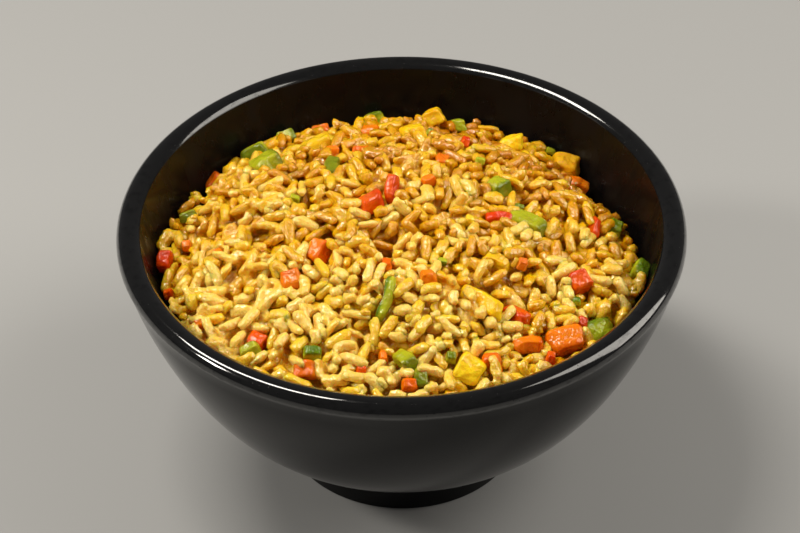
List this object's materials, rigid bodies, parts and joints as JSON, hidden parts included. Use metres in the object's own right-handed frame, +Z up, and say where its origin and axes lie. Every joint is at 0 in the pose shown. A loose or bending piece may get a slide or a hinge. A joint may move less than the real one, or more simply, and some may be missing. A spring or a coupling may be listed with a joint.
{
  "type": "bowl of fried rice",
  "caption": "Round black bowl on a foot ring, with a low heap of fried rice, diced peppers and carrot that rises a little above the rim.",
  "frame": {"origin": "under the middle of the foot ring, on the surface that the bowl stands on", "axes": "+Z up along the bowl's axis of turning, -Y the side nearest the camera in the picture, +X to the right"},
  "size_m": [0.16, 0.16, 0.0875],
  "materials": {
    "bowl": "black, glossy, lightly worn on the lip",
    "rice": null,
    "vegetables": null
  },
  "bodies": {
    "root": {"bowl": "bowl", "fried_rice": "rice"}
  },
  "joints": []
}
